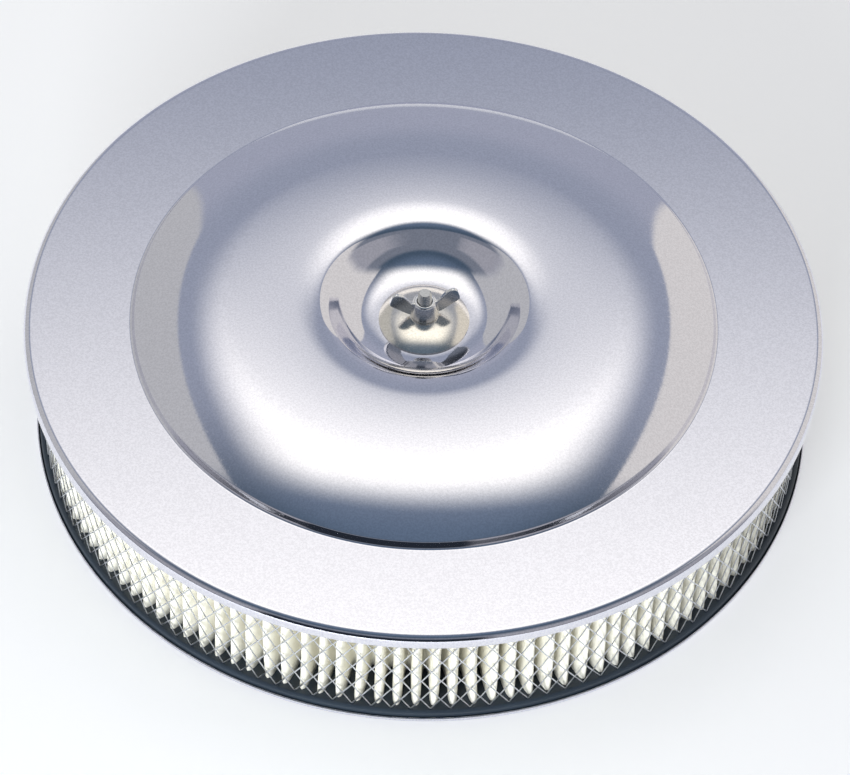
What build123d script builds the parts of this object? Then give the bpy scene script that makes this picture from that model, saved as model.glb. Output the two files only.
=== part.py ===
"""Carburetor air cleaner: chrome lid and base pan round a pleated paper element, with a stud and wing nut.

Millimetres, +Z up. The origin is on the axis, on the surface that the base pan stands on.
The pieces that turn about the axis are drawn as half sections, with x as the radius and y as the height.
"""
import os
from math import acos, asin, atan2, cos, degrees, hypot, radians, sin, tan

from build123d import *

# Sheet steel of the lid and of the base pan
sheet = 0.9
hem_gap = 0.5               # open space inside the hem of the lid's edge

# Lid, with heights measured from the top face of its flat ring
lid_radius = 177.8
lid_round = 3.5             # outside radius of the bend into the skirt
lid_skirt = 6.9             # depth of the skirt below the ring's top face
ring_band = 49.8            # from the lid's edge in to the edge of its dome
dome_edge_height = 3.0
step_angle = 62.0           # slope of the short step down from the dome to the ring
step_bend = 1.6
crest_height = 14.0
crest_bend = 450.0          # radius of the nearly flat top of the dome
crest_slope = 1.35          # degrees, where the top of the dome meets the broad bend into the dish
crest_share = 0.32          # part of the way from the crest to the dome's edge that is nearly flat
bowl_bend = 50.0            # radius of the broad bend from the crest in to the dish
bowl_slope = 13.5           # degrees, where the broad bend meets the tighter one over the dish's side
flank_angle = 45.0          # slope of the dish's side
flank_bend = 10.0
dish_bend = 25.0            # radius of the concave bend round the dish's floor
dish_depth = 1.6
stud_hole_radius = 3.45

# Filter element
element_height = 63.5
skirt_gap = 2.5             # between the seals and the lid's skirt
seal_width = 30.0
seal_height = 5.5
seal_edge = 1.8             # rounding of the seals' outer and inner edges
outer_screen_inset = 0.2    # from the rounding of the seals' outer edge
inner_screen_inset = 3.0    # from the rounding of the seals' inner edge
screen_sheet = 0.8
pleat_clearance = 0.5       # between a fold of the paper and the screen beside it
pleat_count = 128
paper_sheet = 0.6
screen_columns = 40         # diamond gaps round a screen in one row
screen_rows = 2             # full rows of diamonds, with a staggered row between them
screen_strand = 3.4         # width of the metal between two diamonds

# Fixings on the axis: a 1/4-20 stud and wing nut on a domed washer
stud_radius = 3.175
stud_length = 63.5
stud_chamfer = 0.6
shank_radius = 2.75
lower_thread_length = 19.0
upper_thread_length = 32.0
thread_clearance = 0.08
stud_proud = 5.0            # stud's end above the nut's hub
washer_radius = 20.2
washer_sheet = 1.2
washer_height = 4.1
washer_rim = 0.6            # straight part of the washer's edge
washer_seat_radius = 7.2
washer_to_bend = 0.3        # flat floor left outside the washer
nut_base_radius = 6.4
nut_top_radius = 5.1
nut_hub_height = 9.0
nut_edge = 0.8
wing_span = 31.0
wing_tip_height = 15.0
wing_tip_radius = 2.4
wing_foot = 1.0             # height of a wing's lower edge at the hub
wing_root = 1.0             # from the hub out to the bend in a wing's lower edge
wing_root_rise = 0.6
wing_tip_face = 6.4         # height of the corner under the tip, down from the top
wing_tip_lean = 1.4         # the tip's upper corner, in from its lower one
wing_corner = 0.6           # that the outline's corners stand out before they are rounded
wing_shoulder = 6.0         # from the tip in to the dip in a wing's upper edge
wing_dip = 1.6
wing_neck = 1.4             # from the top of the hub down to a wing's upper edge
wing_bends = [4.0, wing_tip_radius, wing_tip_radius, 2.2, 3.0]
wing_thickness = 2.6
wing_edge = 0.8
wing_turn = 10.5            # degrees that the wings are turned from the X axis

# Base pan
pan_lip_gap = 0.4           # between the seal's edge and the pan's lip
pan_lip_height = 3.4
pan_bend = 1.9              # outside radius of the bend under the lip
rise_height = 11.0
rise_angle = 55.0
rise_bend = 4.0
rise_gap = 2.5              # between the seal's inner edge and the foot of the rise
neck_radius = 65.3          # bore for a 5-1/8 inch carburetor neck
neck_wall = 8.0             # straight height of the collar round the bore
neck_bend = 2.2
channel_width = 11.0        # flat of the channel round the collar
channel_angle = 75.0
channel_bend = 2.6
gasket_height = 2.5
gasket_stand_off = 0.5      # gasket's lower face above the surface that the pan stands on
gasket_edge = 0.5

# Radii that follow from the lid's
lid_inner_radius = lid_radius - 2 * sheet - hem_gap
dome_edge_radius = lid_radius - ring_band
seal_radius = lid_inner_radius - skirt_gap
seal_inner_radius = seal_radius - seal_width
outer_screen_radius = seal_radius - seal_edge - outer_screen_inset
inner_screen_radius = seal_inner_radius + seal_edge + inner_screen_inset

# Heights of the faces that the pieces share
seal_bottom = sheet
seal_top = seal_bottom + element_height
ring_top = seal_top + sheet
dish_floor = ring_top - dish_depth
washer_top = dish_floor + washer_height
nut_top = washer_top + nut_hub_height
stud_top = nut_top + stud_proud
paper_bottom = seal_bottom + seal_height
paper_top = seal_top - seal_height


def sheet_path(start, heading, moves, shift):
    """Straight runs and tangent bends from a start point, moved sideways to its right by shift.

    moves holds (run, outside radius, turn) with the turn in degrees, positive to the left.
    """
    direction = Vector(1, 0).rotate(Axis.Z, heading)
    point = Vector(*start) + direction.rotate(Axis.Z, -90) * shift
    edges = []
    for run, radius, turn in moves:
        if run > 0.001:
            straight = Line(point, point + direction * run)
            edges.append(straight)
            point = straight @ 1
        if turn:
            side = 1 if turn > 0 else -1
            bend = JernArc(point, direction, radius + side * shift, turn)
            edges.append(bend)
            point = bend @ 1
            direction = direction.rotate(Axis.Z, turn)
    return edges


def pressed_sheet(start, heading, moves):
    """Section of a pressed sheet: the outer path, the same path one sheet lower, and two cut ends."""
    outside = sheet_path(start, heading, moves, 0)
    inside = sheet_path(start, heading, moves, sheet)
    first_end = Line(outside[0] @ 0, inside[0] @ 0)
    last_end = Line(outside[-1] @ 1, inside[-1] @ 1)
    return make_face(outside + inside + [first_end, last_end])


def turned(section):
    """Solid of revolution of a half section about the Z axis."""
    return revolve(Plane.XZ * section, Axis.Z)


def slope_run(height, first_radius, second_radius, first_angle, angle):
    """Length and width of the straight slope between two bends, for a given height between the flats."""
    bends = first_radius * (cos(first_angle) - cos(angle)) + second_radius * (1 - cos(angle))
    length = (height - bends) / sin(angle)
    first_width = first_radius * (sin(angle) - sin(first_angle))
    width = first_width + second_radius * sin(angle) + length * cos(angle)
    return length, width


def make_lid():
    # Side of the dish, from its floor up through two bends to the inner edge of the nearly flat crest
    dish_floor_radius = washer_radius + washer_to_bend
    inner_slope = radians(crest_slope)
    bowl = radians(bowl_slope)
    flank = radians(flank_angle)
    crest_fall = crest_bend * (1 - cos(inner_slope))
    bowl_fall = bowl_bend * (cos(inner_slope) - cos(bowl))
    bowl_width = bowl_bend * (sin(bowl) - sin(inner_slope))
    flank_height = crest_height + dish_depth - crest_fall - bowl_fall
    flank_length, flank_width = slope_run(flank_height, flank_bend, dish_bend, bowl, flank)
    crest_radius = dish_floor_radius + flank_width + bowl_width + crest_bend * sin(inner_slope)

    # The crest falls gently, then one arc leads on from it to the edge of the dome
    crest_run = crest_share * (dome_edge_radius - crest_radius)
    outer_slope = asin(crest_run / crest_bend)
    dome_run = dome_edge_radius - crest_radius - crest_run
    dome_drop = crest_height - dome_edge_height - crest_bend * (1 - cos(outer_slope))
    dome_turn = 2 * (atan2(dome_drop, dome_run) - outer_slope)
    dome_bend = hypot(dome_run, dome_drop) / (2 * sin(dome_turn / 2))
    dome_angle = outer_slope + dome_turn

    angle = radians(step_angle)
    step_length, step_width = slope_run(dome_edge_height, step_bend, step_bend, dome_angle, angle)
    ring_width = lid_radius - lid_round - dome_edge_radius - step_width
    hem_bend = sheet + hem_gap / 2
    skirt_length = lid_skirt - lid_round - hem_bend
    moves = [
        (dish_floor_radius - stud_hole_radius, dish_bend, flank_angle),
        (flank_length, flank_bend, bowl_slope - flank_angle),
        (0, bowl_bend, crest_slope - bowl_slope),
        (0, crest_bend, -crest_slope - degrees(outer_slope)),
        (0, dome_bend, -degrees(dome_turn)),
        (0, step_bend, -(step_angle - degrees(dome_angle))),
        (step_length, step_bend, step_angle),
        (ring_width, lid_round, -90),
        (skirt_length, hem_bend, -180),
        (hem_bend, 0, 0),
    ]
    return turned(pressed_sheet((stud_hole_radius, dish_floor), 0, moves))


def make_base_pan():
    lip_radius = seal_radius + pan_lip_gap + sheet
    rise_foot = seal_inner_radius - rise_gap
    rise = radians(rise_angle)
    rise_length, rise_width = slope_run(rise_height, rise_bend, rise_bend, 0, rise)
    floor_width = lip_radius - pan_bend - rise_foot

    # The channel's flat lies on the gasket, and its inner bend turns up into the collar
    channel_height = gasket_stand_off + gasket_height
    channel_drop = rise_height - channel_height
    channel = radians(channel_angle)
    channel_length, channel_slope_width = slope_run(channel_drop, channel_bend, channel_bend, 0, channel)
    plateau_width = rise_foot - rise_width - neck_radius - neck_bend - channel_width - channel_slope_width
    moves = [
        (pan_lip_height - pan_bend, pan_bend, -90),
        (floor_width, rise_bend, -rise_angle),
        (rise_length, rise_bend, rise_angle),
        (plateau_width, channel_bend, channel_angle),
        (channel_length, channel_bend, -channel_angle),
        (channel_width, neck_bend, -90),
        (neck_wall, 0, 0),
    ]
    return turned(pressed_sheet((lip_radius, pan_lip_height), 270, moves))


def make_neck_gasket():
    inner = neck_radius + neck_bend
    section = Pos(inner + channel_width / 2, gasket_stand_off + gasket_height / 2)
    section *= RectangleRounded(channel_width, gasket_height, gasket_edge)
    return turned(section)


def make_seal(bottom):
    """Moulded end ring of the element, with rounded edges."""
    width = seal_radius - seal_inner_radius
    place = Pos(seal_inner_radius + width / 2, bottom + seal_height / 2)
    return turned(place * RectangleRounded(width, seal_height, seal_edge))


def make_pleated_paper():
    """Paper folded to and fro between the two screens, one zigzag ring drawn from above."""
    outer_fold = outer_screen_radius - screen_sheet - pleat_clearance
    inner_fold = inner_screen_radius + pleat_clearance
    half_pitch = 180 / pleat_count
    leg_angle = atan2(outer_fold * radians(half_pitch), outer_fold - inner_fold)
    radial_sheet = paper_sheet / sin(leg_angle)
    outer_line = []
    inner_line = []
    for pleat in range(pleat_count):
        out_turn = 2 * pleat * half_pitch
        in_turn = out_turn + half_pitch
        outer_line.append(Vector(outer_fold, 0).rotate(Axis.Z, out_turn))
        outer_line.append(Vector(inner_fold + radial_sheet, 0).rotate(Axis.Z, in_turn))
        inner_line.append(Vector(outer_fold - radial_sheet, 0).rotate(Axis.Z, out_turn))
        inner_line.append(Vector(inner_fold, 0).rotate(Axis.Z, in_turn))
    outside = make_face(Polyline(*outer_line, close=True))
    inside = make_face(Polyline(*inner_line, close=True))
    ring = Pos(0, 0, paper_bottom) * (outside - inside)
    return extrude(ring, paper_top - paper_bottom)


def make_screen(radius):
    """Expanded-metal screen: a ring of flat facets with staggered diamond gaps."""
    height = paper_top - paper_bottom
    column = 360 / screen_columns
    facets = 2 * screen_columns
    outside = RegularPolygon(radius, facets, major_radius=False)
    inside = RegularPolygon(radius - screen_sheet, facets, major_radius=False)
    wall = extrude(Pos(0, 0, paper_bottom) * (outside - inside), height)

    pitch_across = 2 * radius * tan(radians(column / 2))
    pitch_up = height / screen_rows
    strand_slope = hypot(pitch_across, pitch_up)
    gap_across = pitch_across - screen_strand * strand_slope / pitch_up
    gap_up = pitch_up - screen_strand * strand_slope / pitch_across
    corners = [(gap_across / 2, 0), (0, gap_up / 2), (-gap_across / 2, 0), (0, -gap_up / 2)]
    gap = extrude(make_face(Polyline(*corners, close=True)), 3 * screen_sheet, both=True)
    gaps = []
    for row in range(2 * screen_rows - 1):
        middle = paper_bottom + pitch_up * (row + 1) / 2
        facing_out = Plane((radius, 0, middle), x_dir=(0, 1, 0), z_dir=(1, 0, 0))
        first = column / 2 if row % 2 else 0
        for step in range(screen_columns):
            gaps.append(Rot(0, 0, first + step * column) * facing_out.location * gap)
    return wall - gaps


def make_center_stud():
    """Double-ended stud: a threaded length at each end and a plain shank between them."""
    lower_end = lower_thread_length
    upper_end = stud_length - upper_thread_length
    run_out = stud_radius - shank_radius
    section = make_face(Polyline(
        (0, 0),
        (stud_radius - stud_chamfer, 0),
        (stud_radius, stud_chamfer),
        (stud_radius, lower_end - run_out),
        (shank_radius, lower_end),
        (shank_radius, upper_end),
        (stud_radius, upper_end + run_out),
        (stud_radius, stud_length - stud_chamfer),
        (stud_radius - stud_chamfer, stud_length),
        (0, stud_length),
        close=True,
    ))
    return Pos(0, 0, stud_top - stud_length) * turned(section)


def make_domed_washer():
    """Cupped washer of even thickness: its rim stands on the dish and its flat seat carries the nut."""
    run = washer_radius - washer_seat_radius
    rise = washer_height - washer_rim
    crown_bend = hypot(run, rise) ** 2 / (2 * rise)
    under_bend = crown_bend - washer_sheet
    under_angle = acos((crown_bend - washer_height) / under_bend)
    under_height = washer_height - washer_sheet

    seat = Line((stud_hole_radius, washer_height), (washer_seat_radius, washer_height))
    crown = JernArc(seat @ 1, (1, 0), crown_bend, -degrees(asin(run / crown_bend)))
    rim = Line(crown @ 1, (washer_radius, 0))
    under_seat = Line((stud_hole_radius, under_height), (washer_seat_radius, under_height))
    under_crown = JernArc(under_seat @ 1, (1, 0), under_bend, -degrees(under_angle))
    foot = Line(under_crown @ 1, (washer_radius, 0))
    hole = Line(under_seat @ 0, seat @ 0)
    section = make_face([seat, crown, rim, foot, under_crown, under_seat, hole])
    return Pos(0, 0, dish_floor) * turned(section)


def make_wing():
    """One flat wing that leans outwards from the foot of the hub to a round tip."""
    foot = (0, wing_foot)
    neck = nut_hub_height - wing_neck
    low_bend = (nut_base_radius + wing_root, wing_foot + wing_root_rise)
    low_tip = (wing_span / 2 + wing_corner, wing_tip_height - wing_tip_face)
    high_tip = (wing_span / 2 - wing_tip_lean, wing_tip_height + wing_corner)
    shoulder = (wing_span / 2 - wing_shoulder, wing_tip_height - wing_dip)
    high_bend = (nut_top_radius + wing_root_rise, neck)
    top = (0, neck)
    corners = [foot, low_bend, low_tip, high_tip, shoulder, high_bend, top]
    edge = FilletPolyline(*corners, radius=wing_bends)
    outline = make_face([edge, Line(top, foot)])
    wing = extrude(Plane.XZ * outline, wing_thickness / 2, both=True)
    inner_end = wing.faces().sort_by(Axis.X)[0].edges()
    rim = [side for side in wing.edges() if side not in inner_end and abs(side.center().Y) > wing_edge]
    return fillet(rim, wing_edge)


def make_wing_nut():
    hub_top = [(nut_top_radius, nut_hub_height), (0, nut_hub_height)]
    hub = turned(make_face(Polyline((0, 0), (nut_base_radius, 0), *hub_top, close=True)))
    hub = fillet(hub.edges().filter_by(GeomType.CIRCLE), nut_edge)
    wing = make_wing()
    nut = hub + wing + Rot(0, 0, 180) * wing
    nut -= Cylinder(stud_radius + thread_clearance, 4 * nut_hub_height)
    return Pos(0, 0, washer_top) * Rot(0, 0, wing_turn) * nut


os.makedirs("parts", exist_ok=True)
pieces = {
    "lid": make_lid(),
    "domed_washer": make_domed_washer(),
    "wing_nut": make_wing_nut(),
    "center_stud": make_center_stud(),
    "base_pan": make_base_pan(),
    "neck_gasket": make_neck_gasket(),
    "top_seal": make_seal(seal_top - seal_height),
    "bottom_seal": make_seal(seal_bottom),
    "pleated_paper": make_pleated_paper(),
    "outer_screen": make_screen(outer_screen_radius),
    "inner_screen": make_screen(inner_screen_radius),
}
for name, piece in pieces.items():
    export_step(piece, f"parts/{name}.step")
    print(name, round(piece.volume), "mm3")
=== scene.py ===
# %% [markdown]
# # A chrome air cleaner for a carburetor
# The real object is a round can of pressed, chrome-plated steel: a lid and a base pan with a ring
# of pleated filter paper between them, held down by a wing nut on a stud. Almost everything on it
# is turned about one axis, so most pieces here are one outline carried round in a circle. The CAD
# frame gives the places and sizes, and this script dresses it with finer meshes and finishes.

import random
from math import acos, asin, atan2, ceil, cos, degrees, hypot, pi, radians, sin

import bpy
from mathutils import Matrix, Vector


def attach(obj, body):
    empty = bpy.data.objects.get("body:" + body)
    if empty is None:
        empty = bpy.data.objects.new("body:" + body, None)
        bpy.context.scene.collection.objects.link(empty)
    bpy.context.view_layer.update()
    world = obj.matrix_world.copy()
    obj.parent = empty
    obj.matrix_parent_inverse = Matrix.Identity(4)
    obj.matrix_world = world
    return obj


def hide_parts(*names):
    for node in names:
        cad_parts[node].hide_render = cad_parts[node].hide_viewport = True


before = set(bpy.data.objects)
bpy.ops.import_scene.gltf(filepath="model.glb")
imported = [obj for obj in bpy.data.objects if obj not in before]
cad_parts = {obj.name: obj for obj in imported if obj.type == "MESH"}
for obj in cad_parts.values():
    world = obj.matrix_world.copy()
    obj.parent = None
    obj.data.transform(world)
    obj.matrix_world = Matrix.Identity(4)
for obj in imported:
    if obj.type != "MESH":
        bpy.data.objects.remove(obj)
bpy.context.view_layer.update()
print("nodes:", sorted(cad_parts))

# %% [markdown]
# ## Camera
# The photograph is taken from in front and above with a long lens, so the far and near edges of
# the lid are almost the same size. The camera's place was worked out from the lid's outline. It is
# set by its height angle, its distance and a slight roll, and moved a little sideways, so the lid
# sits where it does in the picture. That needs no lens shift, and other views stay undistorted.

# %% Camera
ring_height = 0.0653        # top face of the lid's flat ring
photo_width = 850
photo_focal = 4493.3        # focal length in pixels of the photograph
sensor_width = 36.0
camera_distance = 1.9957
camera_height_angle = 0.8792
camera_roll = 0.0344
aim_across = -0.83          # from the middle of the picture to the ring's centre, in pixels
aim_up = 70.26

camera_data = bpy.data.cameras.new("camera")
camera_data.sensor_width = sensor_width
camera_data.lens = photo_focal * sensor_width / photo_width
camera_data.clip_start = 0.05
camera = bpy.data.objects.new("camera", camera_data)
bpy.context.scene.collection.objects.link(camera)
bpy.context.scene.camera = camera

back = Vector((0, -cos(camera_height_angle), sin(camera_height_angle)))
level_up = Vector((0, sin(camera_height_angle), cos(camera_height_angle)))
level_right = Vector((1, 0, 0))
right = cos(camera_roll) * level_right + sin(camera_roll) * level_up
up = -sin(camera_roll) * level_right + cos(camera_roll) * level_up
slide = (aim_across * right + aim_up * up) * camera_distance / photo_focal
place = Vector((0, 0, ring_height)) + back * camera_distance - slide
camera.matrix_world = Matrix((
    (right.x, up.x, back.x, place.x),
    (right.y, up.y, back.y, place.y),
    (right.z, up.z, back.z, place.z),
    (0, 0, 0, 1),
))
print("camera at", [round(v, 3) for v in place], "lens", round(camera_data.lens, 1), "mm")

# %% [markdown]
# ## Studio
# Chrome has no colour of its own: it shows the room. What the picture's chrome shows suggests a
# wide soft light overhead, a bluish wall behind, light walls at the sides, a dark side where the
# photographer stands and a pale table. A picture of a real room could be wrapped round the scene.
# A few gradients are easier to fit by trial, and they need no file. All of the room but the light
# and the table is the world's colour, worked out from the direction alone.

# %% A short way to wire shader nodes
def add_node(tree, kind, values=None, **settings):
    """A new node with its settings, and numbers or links for its inputs by name or place."""
    node = tree.nodes.new(kind)
    for key, value in settings.items():
        setattr(node, key, value)
    for key, value in (values or {}).items():
        if isinstance(value, bpy.types.NodeSocket):
            tree.links.new(value, node.inputs[key])
        else:
            node.inputs[key].default_value = value
    return node


def compute(tree, operation, *values):
    """The result of one Math node."""
    return add_node(tree, "ShaderNodeMath", dict(enumerate(values)), operation=operation).outputs[0]


def times(tree, *values):
    """The product of two or more values."""
    product = values[0]
    for value in values[1:]:
        product = compute(tree, "MULTIPLY", product, value)
    return product


# %% Soft steps and blends
def faded(tree, value, low, high, out_low=0.0, out_high=1.0):
    """Smooth step from out_low to out_high as value goes from low to high."""
    values = {"Value": value, "From Min": low, "From Max": high,
              "To Min": out_low, "To Max": out_high}
    node = add_node(tree, "ShaderNodeMapRange", values, interpolation_type="SMOOTHSTEP")
    return node.outputs["Result"]


def between(tree, value, start, full, last_full, end):
    """1 from full to last_full, fading to 0 at start and end."""
    return times(tree, faded(tree, value, start, full), faded(tree, value, last_full, end, 1, 0))


def past(tree, value, other, share, edge):
    """1 where a value is larger than a share of another value, with an edge of a given width."""
    over = compute(tree, "SUBTRACT", value, times(tree, other, share))
    return faded(tree, over, 0.0, edge)


def blend(tree, factor, first, second):
    """Colour between two colours, given as sockets or as red, green and blue."""
    ends = {6: first, 7: second}
    for key, value in ends.items():
        if not isinstance(value, bpy.types.NodeSocket):
            ends[key] = (*value, 1)
    return add_node(tree, "ShaderNodeMix", {0: factor, **ends}, data_type="RGBA").outputs[2]


# %% Directions in the world
scene = bpy.context.scene
scene.view_settings.view_transform = "Standard"

world = bpy.data.worlds.new("studio")
world.use_nodes = True
scene.world = world
tree = world.node_tree
tree.nodes.clear()
direction = add_node(tree, "ShaderNodeTexCoord").outputs["Generated"]
axes = add_node(tree, "ShaderNodeSeparateXYZ", {0: direction})
rightward = axes.outputs["X"]
depth = axes.outputs["Y"]
height = axes.outputs["Z"]
print("world:", world.name)

# %% [markdown]
# ### The dark front
# In front the room is nearly black low down and grows bluish towards the ceiling, with a paler
# strip between. That darkness draws the foot of the dome and the lid's rim as dark lines. A room
# that was dark all over in front would leave the whole lid black when it is seen from behind, so
# two low light walls stand left and right of its middle. Each colour is laid over the last one
# where the direction lies between two limits.

# %% The dark front
front_low, front_high, front_top = (0.02, 0.025, 0.035), (0.07, 0.105, 0.15), (0.13, 0.18, 0.255)
strip_colour = (0.20, 0.22, 0.26)
strip_heights = (0.52, 0.60, 0.76, 0.84)
low_to_high, high_to_top = (0.42, 0.82), (0.85, 1.0)

front = blend(tree, faded(tree, height, *low_to_high), front_low, front_high)
front = blend(tree, faded(tree, height, *high_to_top), front, front_top)
front = blend(tree, between(tree, height, *strip_heights), front, strip_colour)
print("front:", front_low, "to", front_top)

# %% Two low light walls in front
low_wall_colour = (0.38, 0.38, 0.41)
low_wall_heights = (0.0, 0.14, 0.58, 0.66)
gap_lean = 0.21             # how far the dark gap between them leans to the left
gap_half_width = 0.47
gap_edge = 0.12

ahead = times(tree, depth, -1.0)
off_gap = compute(tree, "ABSOLUTE", compute(tree, "ADD", rightward, times(tree, ahead, gap_lean)))
low_wall = times(tree, between(tree, height, *low_wall_heights),
                 past(tree, off_gap, ahead, gap_half_width, gap_edge))
front = blend(tree, low_wall, front, low_wall_colour)
print("low walls:", low_wall_colour)

# %% [markdown]
# ### The back and the sides
# The bluish wall behind colours the far half of the lid. The light walls at the sides show as two
# beige sickles in the steep foot of the dome. They start where the soft light overhead ends, so
# their edge is worked out from the height and the depth of the direction.

# %% The wall behind
wall_low, wall_high = (0.40, 0.42, 0.50), (0.34, 0.37, 0.45)
wall_heights = (0.3, 0.6)       # where the low colour gives way to the high one
wall_depths = (-0.25, 0.55)     # where the front gives way to the wall

wall = blend(tree, faded(tree, height, *wall_heights), wall_low, wall_high)
room = blend(tree, faded(tree, depth, *wall_depths), front, wall)
print("wall behind:", wall_low, "to", wall_high)

# %% Light walls at the sides
left_panel, right_panel = (0.54, 0.54, 0.54), (0.77, 0.74, 0.70)
under_light = 0.64          # how steeply the panels' upper edge falls outwards
beside_wall = 0.44          # how far round they reach towards the wall behind
panel_edge = 0.03
panel_depths = (-0.12, 0.10)    # where the panels begin, coming from the front
left_to_right = (-0.1, 0.1)

side = compute(tree, "ABSOLUTE", rightward)
panel = times(tree, past(tree, side, height, under_light, panel_edge),
              past(tree, side, depth, beside_wall, panel_edge),
              faded(tree, depth, *panel_depths))
panel_colour = blend(tree, faded(tree, rightward, *left_to_right), left_panel, right_panel)
room = blend(tree, panel, room, panel_colour)
print("side walls:", left_panel, "and", right_panel)

# %% White for the camera
white = (1.0, 1.0, 1.0, 1.0)


def mix_shaders(tree, factor, first, second):
    """One shader or the other, as the factor goes from 0 to 1."""
    return add_node(tree, "ShaderNodeMixShader", {0: factor, 1: first, 2: second}).outputs[0]


room_light = add_node(tree, "ShaderNodeBackground", {"Color": room, "Strength": 1.0}).outputs[0]
plain = add_node(tree, "ShaderNodeBackground", {"Color": white, "Strength": 1.0}).outputs[0]
to_camera = add_node(tree, "ShaderNodeLightPath").outputs["Is Camera Ray"]
shown = mix_shaders(tree, to_camera, room_light, plain)
add_node(tree, "ShaderNodeOutputWorld", {"Surface": shown})
print("world nodes:", len(tree.nodes))


# %% Flat cards and empty materials
def card(name, width, depth, place, facing):
    """A flat sheet of the given size that faces along a direction."""
    mesh = bpy.data.meshes.new(name)
    x, y = width / 2, depth / 2
    mesh.from_pydata([(-x, -y, 0), (x, -y, 0), (x, y, 0), (-x, y, 0)], [], [(0, 1, 2, 3)])
    sheet_object = bpy.data.objects.new(name, mesh)
    scene.collection.objects.link(sheet_object)
    sheet_object.location = place
    sheet_object.rotation_euler = Vector(facing).to_track_quat("Z", "Y").to_euler()
    return sheet_object


def new_material(name):
    """An empty node material and its tree."""
    material = bpy.data.materials.new(name)
    material.use_nodes = True
    material.node_tree.nodes.clear()
    return material, material.node_tree


def add_shaders(tree, first, second):
    """The light of two shaders together."""
    return add_node(tree, "ShaderNodeAddShader", {0: first, 1: second}).outputs[0]


# %% [markdown]
# ### Floor
# The part stands on a sheet of white paper. A plain white surface comes out grey under this light,
# so the camera and the reflections see it with a little light of its own, while what it throws
# back on the part stays true. Seen from below it is clear, so that the base pan can be looked at.

# %% Floor
floor_size = 12.0
floor_white = 0.92
floor_lift = 0.30

floor = card("floor", floor_size, floor_size, (0, 0, 0), (0, 0, 1))
floor_paper, tree = new_material("floor_paper")
matt = add_node(tree, "ShaderNodeBsdfDiffuse", {"Color": (floor_white,) * 3 + (1,)}).outputs[0]
lift = add_node(tree, "ShaderNodeEmission", {"Color": white, "Strength": floor_lift}).outputs[0]
rays = add_node(tree, "ShaderNodeLightPath")
seen = compute(tree, "MAXIMUM", rays.outputs["Is Camera Ray"], rays.outputs["Is Glossy Ray"])
from_above = mix_shaders(tree, seen, matt, add_shaders(tree, matt, lift))
from_below = add_node(tree, "ShaderNodeNewGeometry").outputs["Backfacing"]
clear = add_node(tree, "ShaderNodeBsdfTransparent").outputs[0]
surface = mix_shaders(tree, from_below, from_above, clear)
add_node(tree, "ShaderNodeOutputMaterial", {"Surface": surface})
floor.data.materials.append(floor_paper)
print("floor", [round(v, 2) for v in floor.dimensions])

# %% [markdown]
# ### Soft light
# An area lamp shows in chrome as a hard rectangle. This light is a card instead, whose strength
# fades towards its edges, because its blurred edge shows plainly on the ring and the dome. The
# card shines down only, and its light is added to a clear surface, so there is no edge to see.

# %% Soft light
light_height = 1.25
light_front = (-0.16, 0.28)     # where the light starts and where it is full, from front to back
light_back = (0.46, 1.40)       # where it starts to fade and where it ends
light_sides = (0.27, 0.74)      # the same from the middle to each side
light_strength = 1.10
light_colour = (1.0, 0.94, 0.80, 1)

light_middle = (0, (light_front[0] + light_back[1]) / 2, light_height)
light_card = card("light_card", 2 * light_sides[1], light_back[1] - light_front[0],
                  light_middle, (0, 0, -1))
light_card.visible_camera = False
card_light, tree = new_material("card_light")
spot = add_node(tree, "ShaderNodeNewGeometry")
axes = add_node(tree, "ShaderNodeSeparateXYZ", {0: spot.outputs["Position"]})
from_middle = compute(tree, "ABSOLUTE", axes.outputs["X"])
facing_down = compute(tree, "SUBTRACT", 1.0, spot.outputs["Backfacing"])
strength = times(tree, faded(tree, from_middle, *light_sides, 1, 0),
                 between(tree, axes.outputs["Y"], *light_front, *light_back),
                 light_strength, facing_down)
glow = add_node(tree, "ShaderNodeEmission", {"Color": light_colour, "Strength": strength})
clear = add_node(tree, "ShaderNodeBsdfTransparent").outputs[0]
add_node(tree, "ShaderNodeOutputMaterial", {"Surface": add_shaders(tree, glow.outputs[0], clear)})
light_card.data.materials.append(card_light)
print("light card", [round(v, 2) for v in light_card.dimensions])

# %% [markdown]
# ### A lamp for the paper
# The soft light overhead leaves the filter in the lid's shade, but in the photograph its paper is
# bright. A wide, slightly cool lamp low in front and to the left lights it. The lamp is left out of
# reflections, because the chrome in the photograph doesn't show one.

# %% A lamp for the paper
fill_size = 0.9
fill_power = 46.0
fill_colour = (0.92, 0.96, 1.0)
fill_place = Vector((-0.55, -1.70, 0.34))
fill_target = Vector((0, 0, 0.03))

fill_data = bpy.data.lights.new("fill", "AREA")
fill_data.size = fill_size
fill_data.energy = fill_power
fill_data.color = fill_colour
fill = bpy.data.objects.new("fill", fill_data)
scene.collection.objects.link(fill)
fill.location = fill_place
fill.rotation_euler = (fill_place - fill_target).to_track_quat("Z", "Y").to_euler()
fill.visible_glossy = False
print("fill lamp", fill_power, "W at", [round(v, 2) for v in fill_place])

# %% [markdown]
# ## Turning an outline into sheet metal
# A pressed lid is a flat disc pushed into runs and bends, so its section is a list of straight
# runs and arcs that meet without a corner. The same list gives the outside face, and the inside
# face lies one sheet thickness below it. Turning the section round the axis makes the mesh.
# Modelling the lid from a plane with subdivision would also work, but chrome shows every wobble,
# and arcs that are sampled finely reflect cleanly.

# %% Runs and bends
mm = 0.001
bend_step = 3.0             # degrees between two points of a bend
long_step = 4.0             # longest step along a wide bend, in mm
shortest_run = 0.001        # in mm
end_share, end_length = 0.15, 0.2   # a run has a point this near each end, as share or mm


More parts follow.
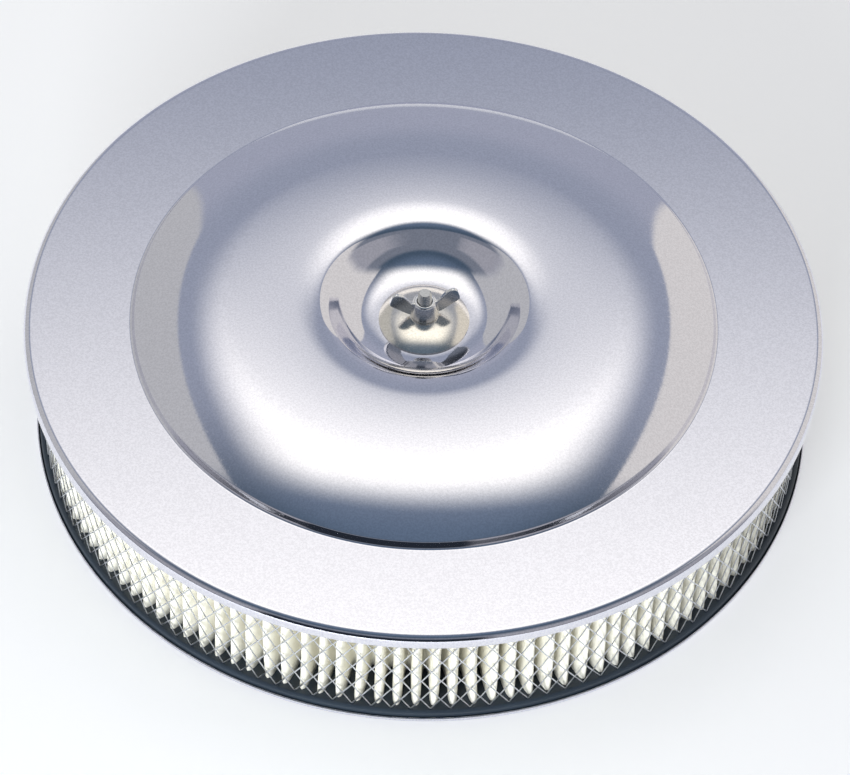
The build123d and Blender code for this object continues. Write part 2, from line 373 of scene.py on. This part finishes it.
def follow(start, heading, moves):
    """Points (radius, height, direction) along straight runs and bends, in mm and degrees."""
    x, y = start
    angle = radians(heading)
    samples = [(x, y, angle)]
    for run, radius, turn in moves:
        if run > shortest_run:
            near_end = min(end_share, end_length / run)
            for share in (near_end, 0.5, 1 - near_end, 1):
                samples.append((x + run * share * cos(angle), y + run * share * sin(angle), angle))
            x += run * cos(angle)
            y += run * sin(angle)
        if turn:
            side = 1 if turn > 0 else -1
            middle = (x - side * radius * sin(angle), y + side * radius * cos(angle))
            arc = radians(abs(turn)) * radius
            steps = max(3, ceil(abs(turn) / bend_step), ceil(arc / long_step))
            for step in range(1, steps + 1):
                at = angle + radians(turn) * step / steps
                point = (middle[0] + side * radius * sin(at), middle[1] - side * radius * cos(at))
                samples.append((*point, at))
            x, y = samples[-1][:2]
            angle += radians(turn)
    return samples


def sheet_loop(samples, thickness):
    """Closed section of a sheet with its outside face along the samples and its body under it."""
    outside = [(x, y) for x, y, angle in samples]
    inside = [(x + thickness * sin(angle), y - thickness * cos(angle)) for x, y, angle in samples]
    return outside + inside[::-1]


def slope_run(height, first_radius, second_radius, first_angle, angle):
    """Length and width of a straight slope between two bends, for a height between the flats."""
    bends = first_radius * (cos(first_angle) - cos(angle)) + second_radius * (1 - cos(angle))
    length = (height - bends) / sin(angle)
    first_width = first_radius * (sin(angle) - sin(first_angle))
    width = first_width + second_radius * sin(angle) + length * cos(angle)
    return length, width


test_run = slope_run(10, 2, 2, 0, radians(45))
print("a 10 mm slope at 45 degrees:", [round(v, 2) for v in test_run], "mm long and wide")


# %% Turning a section round the axis
def link_mesh(name, points, faces, sharp=35.0):
    """A smooth-shaded mesh object, with edges sharper than the given angle kept crisp."""
    mesh = bpy.data.meshes.new(name)
    mesh.from_pydata(points, [], faces)
    mesh.validate()
    mesh.update()
    mesh.shade_smooth()
    mesh.set_sharp_from_angle(angle=radians(sharp))
    made = bpy.data.objects.new(name, mesh)
    scene.collection.objects.link(made)
    return made


def grid_faces(rows, columns, closed_rows, closed_columns):
    """Quads between the points of a grid that is stored row after row."""
    faces = []
    for row in range(rows if closed_rows else rows - 1):
        for column in range(columns if closed_columns else columns - 1):
            here = row * columns
            there = (row + 1) % rows * columns
            beside = (column + 1) % columns
            faces.append((here + column, here + beside, there + beside, there + column))
    return faces


def turned(section, steps, scale=mm):
    """Points of a section, given as (radius, height) in mm, carried round the Z axis."""
    points = []
    for radius, height in section:
        for step in range(steps):
            angle = 2 * pi * step / steps
            points.append((radius * scale * cos(angle), radius * scale * sin(angle),
                           height * scale))
    return points


def lathe(name, section, steps):
    """Solid of a closed section turned round the Z axis."""
    return link_mesh(name, turned(section, steps), grid_faces(len(section), steps, True, True))


# %% [markdown]
# ## Lid
# The lid is a flat ring, a broad low dome and, in the middle, a dish in which the wing nut sits.
# Its edge bends down into a short skirt, and the sheet is folded back inside, so that no sharp
# edge shows. A free curve could follow the photograph more closely, but it would wobble. Named
# bends and slopes are what a press tool has, and each can be set by itself.

# %% Sizes of the lid, in mm and degrees
sheet = 0.9                 # thickness of the pressed steel
hem_gap = 0.5               # left inside the folded edge
lid_radius = 177.8
lid_round = 3.5             # bend of the outer edge
lid_skirt = 6.9             # depth of the edge
ring_band = 49.8            # width of the flat ring, with the step at its inner edge
step_angle = 62.0           # the steep step at the foot of the dome
step_bend = 1.6
dome_edge_height = 3.0      # the step's top, above the ring
crest_height = 14.0         # the dome's top, above the ring
crest_bend = 450.0          # the nearly flat top of the dome
crest_slope = 1.35          # where it gives way to the bowl
crest_share = 0.32          # part of the dome's outer width that the crest's bend takes
bowl_bend = 50.0            # from the crest in towards the dish
bowl_slope = 13.5
flank_angle = 45.0          # the dish's wall
flank_bend = 10.0
dish_bend = 25.0            # from the wall into the dish's floor
dish_depth = 1.6            # the floor, below the ring
dish_floor_radius = 20.5
stud_hole_radius = 3.45
lathe_steps = 240
dish_floor = ring_height / mm - dish_depth
print("dish floor at", round(dish_floor, 2), "mm")


# %% The lid's section
def dish_and_crest():
    """Moves from the stud's hole up to the crest, and the radius of the crest."""
    inner_slope = radians(crest_slope)
    bowl = radians(bowl_slope)
    crest_fall = crest_bend * (1 - cos(inner_slope))
    bowl_fall = bowl_bend * (cos(inner_slope) - cos(bowl))
    bowl_width = bowl_bend * (sin(bowl) - sin(inner_slope))
    flank_height = crest_height + dish_depth - crest_fall - bowl_fall
    flank_length, flank_width = slope_run(flank_height, flank_bend, dish_bend, bowl,
                                          radians(flank_angle))
    crest_radius = dish_floor_radius + flank_width + bowl_width + crest_bend * sin(inner_slope)
    return [
        (dish_floor_radius - stud_hole_radius, dish_bend, flank_angle),
        (flank_length, flank_bend, bowl_slope - flank_angle),
        (0, bowl_bend, crest_slope - bowl_slope),
    ], crest_radius


def lid_moves():
    """Runs and bends of the lid from the stud's hole out to the fold inside the skirt."""
    inner_moves, crest_radius = dish_and_crest()
    dome_edge_radius = lid_radius - ring_band
    crest_run = crest_share * (dome_edge_radius - crest_radius)
    outer_slope = asin(crest_run / crest_bend)
    dome_run = dome_edge_radius - crest_radius - crest_run
    dome_drop = crest_height - dome_edge_height - crest_bend * (1 - cos(outer_slope))
    dome_turn = 2 * (atan2(dome_drop, dome_run) - outer_slope)
    dome_bend = hypot(dome_run, dome_drop) / (2 * sin(dome_turn / 2))
    dome_angle = outer_slope + dome_turn
    step_length, step_width = slope_run(dome_edge_height, step_bend, step_bend, dome_angle,
                                        radians(step_angle))
    ring_width = lid_radius - lid_round - dome_edge_radius - step_width
    hem_bend = sheet + hem_gap / 2
    return inner_moves + [
        (0, crest_bend, -crest_slope - degrees(outer_slope)),
        (0, dome_bend, -degrees(dome_turn)),
        (0, step_bend, -(step_angle - degrees(dome_angle))),
        (step_length, step_bend, step_angle),
        (ring_width, lid_round, -90),
        (lid_skirt - lid_round - hem_bend, hem_bend, -180),
        (hem_bend, 0, 0),
    ]


print("lid:", len(lid_moves()), "runs and bends")

# %% Lid
lid_section = sheet_loop(follow((stud_hole_radius, dish_floor), 0, lid_moves()), sheet)
lid = lathe("lid_shell", lid_section, lathe_steps)
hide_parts("lid")
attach(lid, "cover")
print("lid:", len(lid.data.polygons), "faces")

# %% [markdown]
# ## Base pan
# The pan is pressed from the same sheet. It has a low lip round the filter, a raised floor, and a
# channel with a collar in the middle that fits round the neck of the carburetor. It is made in the
# same way as the lid, from its lip inwards, so the two look like a pair.

# %% Sizes of the base pan, in mm and degrees
pan_lip_radius = 174.3
pan_lip_height = 3.4
pan_bend = 1.9
rise_foot = 140.5           # radius at which the floor starts to rise
rise_height = 11.0
rise_angle = 55.0
rise_bend = 4.0
neck_radius = 65.3          # inside of the collar
neck_wall = 8.0             # straight height of the collar
neck_bend = 2.2
channel_width = 11.0
channel_height = 3.0        # the channel's floor, above the table
channel_angle = 75.0
channel_bend = 2.6
print("pan:", 2 * pan_lip_radius, "mm wide")


# %% Base pan
def pan_moves():
    """Runs and bends of the pan from its lip in to the collar."""
    rise_length, rise_width = slope_run(rise_height, rise_bend, rise_bend, 0, radians(rise_angle))
    floor_width = pan_lip_radius - pan_bend - rise_foot
    channel_drop = rise_height - channel_height
    channel_length, channel_slope_width = slope_run(channel_drop, channel_bend, channel_bend, 0,
                                                    radians(channel_angle))
    plateau_width = (rise_foot - rise_width - neck_radius - neck_bend - channel_width
                     - channel_slope_width)
    return [
        (pan_lip_height - sheet / 2 - pan_bend, pan_bend, -90),
        (floor_width, rise_bend, -rise_angle),
        (rise_length, rise_bend, rise_angle),
        (plateau_width, channel_bend, channel_angle),
        (channel_length, channel_bend, -channel_angle),
        (channel_width, neck_bend, -90),
        (neck_wall, 0, 0),
    ]


# The cut edge on top of the lip is rounded, as the press leaves it
lip_start = (pan_lip_radius, pan_lip_height - sheet / 2)
pan_section = sheet_loop(follow(lip_start, 270, pan_moves()), sheet)
lip_middle = pan_lip_radius - sheet / 2
lip_turns = [radians(180 - 30 * step) for step in range(1, 6)]
pan_section += [(lip_middle + sheet / 2 * cos(turn), lip_start[1] + sheet / 2 * sin(turn))
                for turn in lip_turns]
pan = lathe("base_pan_shell", pan_section, lathe_steps)
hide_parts("base_pan")
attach(pan, "base")
print("pan:", len(pan.data.polygons), "faces")

# %% [markdown]
# ## Rubber end rings
# The paper and its screens are moulded into a ring of soft rubber at each end. The rings are
# rounded, with a fine parting line round the outside where the two halves of the mould met. Three
# small bends in the section, in and out again, make that line, so it is in the shape and not only
# in the shading.

# %% Rubber end rings
seal_radius = 173.0
seal_inner_radius = 143.0
seal_height = 5.5
seal_edge = 1.8             # rounding of the edges
seal_bottom = 0.9
seal_steps = 256
element_height = 63.5
parting_bend = 0.3          # the small bends of the parting line
parting_turn = 25


def seal_loop(bottom):
    """Rounded section of one end ring."""
    width = seal_radius - seal_inner_radius
    side = seal_height - 2 * seal_edge
    moves = [
        (width - 2 * seal_edge, seal_edge, 90),
        (side / 2 - parting_bend, parting_bend, parting_turn),
        (0, parting_bend, -2 * parting_turn),
        (0, parting_bend, parting_turn),
        (side / 2 - parting_bend, seal_edge, 90),
        (width - 2 * seal_edge, seal_edge, 90),
        (side, seal_edge, 90),
    ]
    samples = follow((seal_inner_radius + seal_edge, bottom), 0, moves)
    return [(min(x, seal_radius), min(y, bottom + seal_height)) for x, y, angle in samples[:-1]]


top_seal_bottom = seal_bottom + element_height - seal_height
seals = []
for name, bottom in (("bottom_seal", seal_bottom), ("top_seal", top_seal_bottom)):
    seal = lathe(name + "_ring", seal_loop(bottom), seal_steps)
    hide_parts(name)
    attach(seal, "base")
    seals.append(seal)
    print(name, len(seal.data.polygons), "faces")

# %% [markdown]
# ## Pleated paper
# The filter is one long strip of paper folded to and fro 128 times. The folds are rounded and no
# two are quite alike. One pleat could be modelled and repeated, but then all would be the same. A
# wave that dwells in its folds gives the shape instead: the radius swings in and out, and the
# angle hurries on while the radius turns. Each fold leans, bows and reaches a little by chance.

# %% Sizes of the paper, in mm
pleat_count = 128
pleat_samples = 16          # points along one pleat
paper_rows = 7
paper_outer = 169.7
paper_inner = 148.4
paper_sheet = 0.6
paper_sunk = 0.6            # how deep its edges sit in the rubber
paper_bottom = seal_bottom + seal_height - paper_sunk
paper_top = seal_bottom + element_height - seal_height + paper_sunk
dwell = 0.8                 # how much of the turning happens in the folds
most_lean = 0.16            # how far a fold may lean, as a share of a pleat's width
most_bow = 0.12             # how far it may bow
most_short = 0.35           # how far it may stay short of its full depth
chance = random.Random(7)

pleat_lean = [chance.uniform(-most_lean, most_lean) for _ in range(pleat_count)]
pleat_bow = [chance.uniform(-most_bow, most_bow) for _ in range(pleat_count)]
pleat_reach = [chance.uniform(-most_short, 0.0) for _ in range(pleat_count)]
print("paper from", round(paper_bottom, 2), "to", round(paper_top, 2), "mm")


# %% Pleated paper
def paper_point(turn, share):
    """Point of the paper after a number of pleats, at a share of its height."""
    pleat = int(turn)
    swing = sin(2 * pi * turn)
    lean = pleat_lean[pleat] * (share - 0.5) + pleat_bow[pleat] * sin(pi * share)
    step = turn - dwell * sin(4 * pi * turn) / (4 * pi) + lean * abs(swing)
    reach = (paper_outer - paper_inner - paper_sheet) / 2 + pleat_reach[pleat] * abs(swing)
    radius = ((paper_outer + paper_inner) / 2 + reach * swing) * mm
    angle = 2 * pi * step / pleat_count
    height = (paper_bottom + share * (paper_top - paper_bottom)) * mm
    return (radius * cos(angle), radius * sin(angle), height)


def thicken(piece, name, thickness):
    """Give a flat mesh a thickness in mm, half to each side."""
    solid = piece.modifiers.new(name, "SOLIDIFY")
    solid.thickness = thickness * mm
    solid.offset = 0


paper_columns = pleat_count * pleat_samples
paper_points = [paper_point(sample / pleat_samples, row / (paper_rows - 1))
                for row in range(paper_rows) for sample in range(paper_columns)]
paper_faces = grid_faces(paper_rows, paper_columns, False, True)
paper = link_mesh("filter_pleats", paper_points, paper_faces, sharp=180)
thicken(paper, "paper thickness", paper_sheet)
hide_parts("pleated_paper")
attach(paper, "base")
print("paper:", len(paper.data.polygons), "faces")

# %% [markdown]
# ## Diamond screens
# The paper is held between two sheets of expanded metal: steel that is slit and pulled open, so
# that a lattice of diamonds forms. A picture with holes would look flat here, because the strands
# stand in front of deep folds. Each diamond is a ring of four faces between the middle lines of
# its strands and its hole. The holes keep sharp corners and the strands stay thin, so a thickness
# is all that the flat lattice needs.

# %% Sizes of the screens, in mm
screen_columns = 126
screen_rows = 4
screen_strand = 0.5
screen_sheet = 0.45
screen_sunk = 0.4           # how deep its edges sit in the rubber
screen_bottom = seal_bottom + seal_height - screen_sunk
screen_top = seal_bottom + element_height - seal_height + screen_sunk
screen_inset = 0.05         # sets the tilted strands a little further in
strand_tilt = 0.16          # how far a strand's upper edge leans out, as slitting leaves it
screen_radii = {"outer_screen": 171.0, "inner_screen": 147.8}
print("screens from", round(screen_bottom, 2), "to", round(screen_top, 2), "mm")


# %% One diamond
def diamond_cell(up, half_across, half_up):
    """Corners of one diamond and of its hole: right, top, left, bottom, as (across, up, out)."""
    to_side = half_across * half_up / hypot(half_across, half_up)
    hole = 1 - screen_strand / 2 / to_side
    corners = [(half_across, 0), (0, half_up), (-half_across, 0), (0, -half_up)]
    outer = [(x, up + z, 0) for x, z in corners]
    inner = [(x * hole, up + z * hole, strand_tilt * ((z < 0) - (z > 0))) for x, z in corners]
    return outer, inner


def shown_sides(row):
    """Sides of a diamond that are made: the first and last rows are half diamonds."""
    return {0: (1, 0), 2 * screen_rows: (3, 2)}.get(row, range(4))


print("hole of a 10 by 10 mm diamond:", round(diamond_cell(0, 5, 5)[1][0][0], 2), "mm to a corner")


# %% Diamond screens
def diamond_screen(name, radius):
    """A ring of staggered diamonds with its outside face at the given radius."""
    half_up = (screen_top - screen_bottom) / screen_rows / 2
    step_across = 2 * pi * radius / screen_columns
    points = []
    faces = []
    index = {}

    def point(across, up, out):
        angle = (across % screen_columns) * (2 * pi / screen_columns)
        key = (round(angle * 1e4) % round(2 * pi * 1e4), round(up * 100), round(out * 100))
        if key not in index:
            at = (radius - screen_sheet / 2 - screen_inset + out) * mm
            index[key] = len(points)
            points.append((at * cos(angle), at * sin(angle), (screen_bottom + up) * mm))
        return index[key]

    for row in range(2 * screen_rows + 1):
        outer, inner = diamond_cell(row * half_up, step_across / 2, half_up)
        for place in range(screen_columns):
            middle = place + row % 2 / 2
            for side in shown_sides(row):
                after = (side + 1) % 4
                corners = (outer[side], outer[after], inner[after], inner[side])
                faces.append([point(middle + x / step_across, z, out) for x, z, out in corners])
    screen = link_mesh(name, points, faces, sharp=40)
    thicken(screen, "strand thickness", screen_sheet)
    return screen


screens = []
for name, radius in screen_radii.items():
    screen = diamond_screen(name + "_mesh", radius)
    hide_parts(name)
    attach(screen, "base")
    screens.append(screen)
    print(name, len(screen.data.polygons), "faces")

# %% [markdown]
# ## Domed washer
# In the dish a bright domed washer spreads the load of the nut. It is a shallow cap of thin steel,
# flat on top where the nut bears. Its two faces are arcs about one centre, found from the washer's
# width and height, so that the sheet keeps its thickness.

# %% Domed washer
washer_radius = 20.2
washer_sheet = 1.2
washer_height = 4.1
washer_rim = 0.6            # height of its outer face at the rim
washer_seat_radius = 7.2    # the flat on top
washer_steps = 160

run = washer_radius - washer_seat_radius
rise = washer_height - washer_rim
crown_bend = hypot(run, rise) ** 2 / (2 * rise)
under_bend = crown_bend - washer_sheet
crown_angle = degrees(asin(run / crown_bend))
under_angle = degrees(acos((crown_bend - washer_height) / under_bend))
seat_run = washer_seat_radius - stud_hole_radius
washer_top = dish_floor + washer_height
crown = follow((stud_hole_radius, washer_top), 0, [(seat_run, crown_bend, -crown_angle)])
under = follow((stud_hole_radius, washer_top - washer_sheet), 0,
               [(seat_run, under_bend, -under_angle)])
washer_section = [(x, y) for x, y, angle in crown] + [(washer_radius, dish_floor)]
washer_section += [(x, y) for x, y, angle in under[::-1]]
washer = lathe("washer_shell", washer_section, washer_steps)
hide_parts("domed_washer")
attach(washer, "cover")
print("washer:", len(washer.data.polygons), "faces, bend", round(crown_bend, 1), "mm")

# %% [markdown]
# ## Wing nut
# The nut is cast, and its wings run into its hub with soft hollows. A plain union of the three
# shapes would leave hard corners, and rounding those by hand is slow. Here a hub and two flat
# wings are laid into one another, a voxel remesh melts them into one skin, and smoothing turns the
# corners into hollows.

# %% Sizes of the wing nut, in mm and degrees
nut_base_radius = 6.4
nut_top_radius = 5.1
nut_top_flare = 0.1         # how much wider the hub is just under its top edge
nut_hub_height = 9.0
nut_edge = 0.8
nut_bore = 3.3
nut_bore_edge = 0.3
hub_steps = 72
wing_thickness = 2.0
wing_inset = 0.15           # taken off each face of a wing
wing_turn = 10.5
wing_corners = [(4.0, 1.0), (7.4, 1.6), (16.1, 8.6), (14.1, 15.6),
                (9.5, 13.4), (5.7, 7.6), (4.0, 7.6)]
wing_rounds = [0, 4.0, 2.4, 2.4, 2.2, 3.0, 0]
corner_step = 12            # degrees between two points of a rounded corner
nut_voxel = 0.2
print("wings reach", max(x for x, z in wing_corners), "mm out before their corners are rounded")


# %% An outline with rounded corners
def rounded(corners, radii):
    """Closed outline with each corner replaced by an arc of its own radius."""
    outline = []
    for number, radius in enumerate(radii):
        here = Vector(corners[number])
        if not radius:
            outline.append(tuple(here))
            continue
        before = (Vector(corners[number - 1]) - here).normalized()
        after = (Vector(corners[(number + 1) % len(corners)]) - here).normalized()
        half = before.angle(after) / 2
        middle = here + (before + after).normalized() * radius / sin(half)
        first = here + before * (radius / sin(half) * cos(half)) - middle
        side = 1 if before.x * after.y - before.y * after.x < 0 else -1
        sweep = pi - 2 * half
        steps = max(2, ceil(degrees(sweep) / corner_step))
        for step in range(steps + 1):
            turn = side * sweep * step / steps
            outline.append((middle.x + first.x * cos(turn) - first.y * sin(turn),
                            middle.y + first.x * sin(turn) + first.y * cos(turn)))
    return outline


wing_outline = rounded(wing_corners, wing_rounds)
print("wing outline:", len(wing_outline), "points")


# %% Hub and wings, laid into one another
def wing_mesh(side):
    """One flat wing, as points and faces in mm."""
    half = side * (wing_thickness / 2 - wing_inset)
    count = len(wing_outline)
    points = [(side * x, -half, z) for x, z in wing_outline]
    points += [(side * x, half, z) for x, z in wing_outline]
    faces = [tuple(range(count))[::-1], tuple(range(count, 2 * count))]
    faces += [(k, (k + 1) % count, count + (k + 1) % count, count + k) for k in range(count)]
    return points, faces


hub_section = [
    (nut_bore, 0),
    (nut_base_radius - nut_edge, 0),
    (nut_base_radius - nut_edge / 3, nut_edge / 3),
    (nut_base_radius, nut_edge),
    (nut_top_radius + nut_top_flare, nut_hub_height - nut_edge),
    (nut_top_radius - nut_edge / 3, nut_hub_height - nut_edge / 3),
    (nut_top_radius - nut_edge, nut_hub_height),
    (nut_bore + nut_bore_edge, nut_hub_height),
    (nut_bore, nut_hub_height - nut_bore_edge),
]
nut_points = turned(hub_section, hub_steps, 1)
nut_faces = grid_faces(len(hub_section), hub_steps, True, True)
for side in (1, -1):
    points, faces = wing_mesh(side)
    start = len(nut_points)
    nut_points += points
    nut_faces += [tuple(start + corner for corner in face) for face in faces]
turn = radians(wing_turn)
placed = [((x * cos(turn) - y * sin(turn)) * mm, (x * sin(turn) + y * cos(turn)) * mm,
           (washer_top + z) * mm) for x, y, z in nut_points]
nut = link_mesh("wing_nut_casting", placed, nut_faces, sharp=180)
print("rough nut:", len(nut.data.polygons), "faces")

# %% Wing nut
melt = nut.modifiers.new("one casting", "REMESH")
melt.mode = "VOXEL"
melt.voxel_size = nut_voxel * mm
melt.use_smooth_shade = True
soften = nut.modifiers.new("soft hollows", "SMOOTH")
soften.factor = 0.5
soften.iterations = 8
shaped_nut = nut.evaluated_get(bpy.context.evaluated_depsgraph_get())
casting = bpy.data.meshes.new_from_object(shaped_nut)
nut.modifiers.clear()
nut.data = casting
nut.data.shade_smooth()
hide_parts("wing_nut")
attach(nut, "nut")
print("nut:", len(nut.data.polygons), "faces", [round(v / mm, 1) for v in nut.dimensions])

# %% [markdown]
# ## Threaded stud
# The stud has a 1/4-20 thread along each end and a plain shank between. Blender can wind a thread
# with a screw modifier, but its ends are then hard to close. Here the stud is a grid of points
# whose radius depends on the height and the angle, so the thread fades into the shank and into the
# chamfered ends by itself.

# %% Sizes of the stud, in mm
stud_radius = 3.175
stud_length = 63.5
stud_above_nut = 5.0
stud_top = washer_top + nut_hub_height + stud_above_nut
shank_radius = 2.75
lower_thread = 19.0
upper_thread = 32.0
thread_pitch = 1.27
thread_depth = 0.62
ridge_slope = 1.3           # steepness of a ridge's sides
ridge_cut = 0.15            # leaves a small flat in the groove and one on the crest
stud_chamfer = 0.6
end_cut = 0.2               # taken off the radius at the very end, beyond the chamfer
stud_steps = 40
thread_steps = 10           # rows of points in one pitch


def thread_radius(height, angle):
    """Radius of the stud at a height above its lower end and an angle round it."""
    phase = (height / thread_pitch - angle / (2 * pi)) % 1
    ridge = max(0.0, min(1.0, (0.5 - abs(phase - 0.5)) * 2 * ridge_slope - ridge_cut))
    cut = stud_radius - thread_depth * (1 - ridge)
    into_shank = min(height - lower_thread, stud_length - upper_thread - height)
    plain = max(0.0, min(1.0, into_shank / thread_pitch + 0.5))
    body = cut * (1 - plain) + shank_radius * plain
    from_end = min(height, stud_length - height)
    return min(body, stud_radius - stud_chamfer - end_cut + from_end)


print("stud radius in its shank:", round(thread_radius(stud_length * 0.4, 0), 2), "mm")

# %% Threaded stud
stud_rows = round(stud_length / thread_pitch * thread_steps) + 1
stud_points = []
for row in range(stud_rows):
    height = stud_length * row / (stud_rows - 1)
    for step in range(stud_steps):
        angle = 2 * pi * step / stud_steps
        radius = thread_radius(height, angle)
        stud_points.append((radius * mm * cos(angle), radius * mm * sin(angle),
                            (stud_top - stud_length + height) * mm))
stud_faces = grid_faces(stud_rows, stud_steps, False, True)
stud_faces.append(tuple(range(stud_steps))[::-1])
stud_faces.append(tuple(range((stud_rows - 1) * stud_steps, stud_rows * stud_steps)))
stud = link_mesh("threaded_stud", stud_points, stud_faces, sharp=40)
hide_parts("center_stud")
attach(stud, "stud")
print("stud:", len(stud.data.polygons), "faces")

# %% [markdown]
# ## Chrome
# Chrome plate is a near-perfect mirror with a cool cast. Up close it has a faint orange peel, fine
# grain and tiny dull specks. An image of scratches would repeat and blur when it is seen closely.
# The marks are noise instead, in one node group that every plated piece uses with its own values.

# %% Noise and node groups
def noise(tree, where, scale, detail):
    """Noise between 0 and 1 at each place. A larger scale makes it finer."""
    values = {"Vector": where, "Scale": scale, "Detail": detail}
    return add_node(tree, "ShaderNodeTexNoise", values).outputs["Fac"]


def new_group(name, inputs, outputs):
    """A node group with number inputs and outputs, and its two end nodes."""
    group = bpy.data.node_groups.new(name, "ShaderNodeTree")
    kind = "NodeSocketFloat"
    for key, value in inputs.items():
        socket = group.interface.new_socket(key, in_out="INPUT", socket_type=kind)
        socket.default_value = value
    for key in outputs:
        group.interface.new_socket(key, in_out="OUTPUT", socket_type=kind)
    return group, group.nodes.new("NodeGroupInput"), group.nodes.new("NodeGroupOutput")


# %% Marks that plated metal shares
grain_scale = 1200.0
haze_scale = 9.0
haze_share = 0.3            # how much broad haze counts beside a speck
speck_depth = 0.4           # height of a speck beside the peel's
speck_limits = (0.62, 0.72)     # only the noise's highest points are specks
grain_limits = (0.3, 0.7)

plating, given, result = new_group(
    "plated surface",
    {"Peel Scale": 220.0, "Speck Scale": 900.0, "Specks": 0.5, "Smooth": 0.04, "Dull": 0.12},
    ("Roughness", "Height", "Grain"))
where = add_node(plating, "ShaderNodeTexCoord").outputs["Object"]
peel = noise(plating, where, given.outputs["Peel Scale"], 2.0)
speck = noise(plating, where, given.outputs["Speck Scale"], 1.0)
grain = noise(plating, where, grain_scale, 1.0)
haze = noise(plating, where, haze_scale, 3.0)
spots = times(plating, faded(plating, speck, *speck_limits), given.outputs["Specks"])
dull_share = compute(plating, "ADD", spots, times(plating, haze, haze_share))
dull_part = times(plating, dull_share, given.outputs["Dull"])
marks = {
    "Roughness": compute(plating, "ADD", given.outputs["Smooth"], dull_part),
    "Height": compute(plating, "ADD", peel, times(plating, spots, speck_depth)),
    "Grain": faded(plating, grain, *grain_limits),
}
for key, value in marks.items():
    plating.links.new(value, result.inputs[key])
print("group:", plating.name, "gives", list(marks))


# %% A material from its surface and bumps
def bumped(tree, height, strength, distance):
    """Bumps of a given height in mm."""
    values = {"Height": height, "Strength": strength, "Distance": distance * mm}
    return add_node(tree, "ShaderNodeBump", values).outputs[0]


def spaced(values):
    """The same values with the underscores in their names turned into spaces."""
    return {key.replace("_", " "): value for key, value in values.items()}


def surface_shader(tree, **values):
    """Join a Principled BSDF with the given values to the material's output."""
    bsdf = add_node(tree, "ShaderNodeBsdfPrincipled", spaced(values))
    add_node(tree, "ShaderNodeOutputMaterial", {"Surface": bsdf.outputs[0]})


# %% Chrome
grain_share = 0.12          # how much darker the grain's darkest points are


def chrome(name, colour, peel_height, **plating_values):
    """Chrome plate of a given cast."""
    material, tree = new_material(name)
    marks = add_node(tree, "ShaderNodeGroup", node_tree=plating)
    for key, value in spaced(plating_values).items():
        marks.inputs[key].default_value = value
    darker = tuple(part * (1 - grain_share) for part in colour)
    surface_shader(tree, Base_Color=blend(tree, marks.outputs["Grain"], darker, colour),
                   Metallic=1.0, Roughness=marks.outputs["Roughness"],
                   Normal=bumped(tree, marks.outputs["Height"], 1.0, peel_height))
    return material


lid_chrome = chrome("lid_chrome", (0.84, 0.84, 0.91), 0.005,
                    Peel_Scale=620.0, Smooth=0.035, Dull=0.12)
pan_chrome = chrome("pan_chrome", (0.80, 0.80, 0.86), 0.0015, Smooth=0.04, Dull=0.12)
fixing_chrome = chrome("fixing_chrome", (0.88, 0.88, 0.88), 0.004, Smooth=0.15, Dull=0.22)
# The washer's warm beige cast is a painted reflection: it stands in for the beige light that the
# washer mirrors, and is not a colour of the plate.
washer_chrome = chrome("washer_chrome", (0.88, 0.84, 0.77), 0.004, Smooth=0.14, Dull=0.20)
lid.data.materials.append(lid_chrome)
pan.data.materials.append(pan_chrome)
washer.data.materials.append(washer_chrome)
nut.data.materials.append(fixing_chrome)
print("plated:", [piece.name for piece in (lid, pan, washer, nut)])

# %% [markdown]
# ## Zinc plate and galvanised steel
# The stud and the screens are plated too, but with zinc, which is duller and greyer than chrome.
# The same node group serves for both, with a rougher surface and larger bumps.

# %% Zinc plate and galvanised steel
stud_steel = chrome("stud_steel", (0.66, 0.66, 0.65), 0.004, Smooth=0.22, Dull=0.2)
screen_steel = chrome("screen_steel", (0.84, 0.87, 0.92), 0.02, Smooth=0.26, Dull=0.3)
stud.data.materials.append(stud_steel)
for screen in screens:
    screen.data.materials.append(screen_steel)
print("zinc:", [piece.name for piece in (stud, *screens)])

# %% [markdown]
# ## Rubber
# The end rings and the gasket are soft black rubber. It isn't pure black: a grey bloom lies on it
# in clouds, and where the bloom is thicker the rubber shines less. One cloudy noise therefore
# drives both the colour and the roughness, and a fine grain gives the moulded skin. The gasket
# keeps its CAD shape and only gets the material.

# %% Rubber
rubber, tree = new_material("seal_rubber")
where = add_node(tree, "ShaderNodeTexCoord").outputs["Object"]
bloom = noise(tree, where, 30.0, 4.0)
bare_rubber, bloomed_rubber = (0.014, 0.021, 0.030), (0.034, 0.048, 0.066)
shiny, dull = 0.42, 0.58
surface_shader(tree, Base_Color=blend(tree, bloom, bare_rubber, bloomed_rubber),
               Roughness=faded(tree, bloom, 0.3, 0.7, shiny, dull),
               Normal=bumped(tree, noise(tree, where, 700.0, 3.0), 0.5, 0.05))
for seal in seals:
    seal.data.materials.append(rubber)
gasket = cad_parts["neck_gasket"]
gasket.data.materials.clear()
gasket.data.materials.append(rubber)
print("rubber:", [piece.name for piece in (*seals, gasket)])

# %% [markdown]
# ## Filter paper
# Filter paper is a soft, matt felt of fibres, cream with paler clouds. It could let light through,
# but its folds are so close together that no glow shows, so a plain rough surface with a fibrous
# bump is enough.

# %% Filter paper
filter_paper, tree = new_material("filter_paper")
where = add_node(tree, "ShaderNodeTexCoord").outputs["Object"]
cloud = noise(tree, where, 60.0, 3.0)
cream, pale = (0.87, 0.84, 0.72), (0.95, 0.93, 0.84)
surface_shader(tree, Base_Color=blend(tree, cloud, cream, pale), Roughness=0.9,
               Normal=bumped(tree, noise(tree, where, 1400.0, 4.0), 0.6, 0.06))
paper.data.materials.append(filter_paper)
print("materials:", sorted(material.name for material in bpy.data.materials))
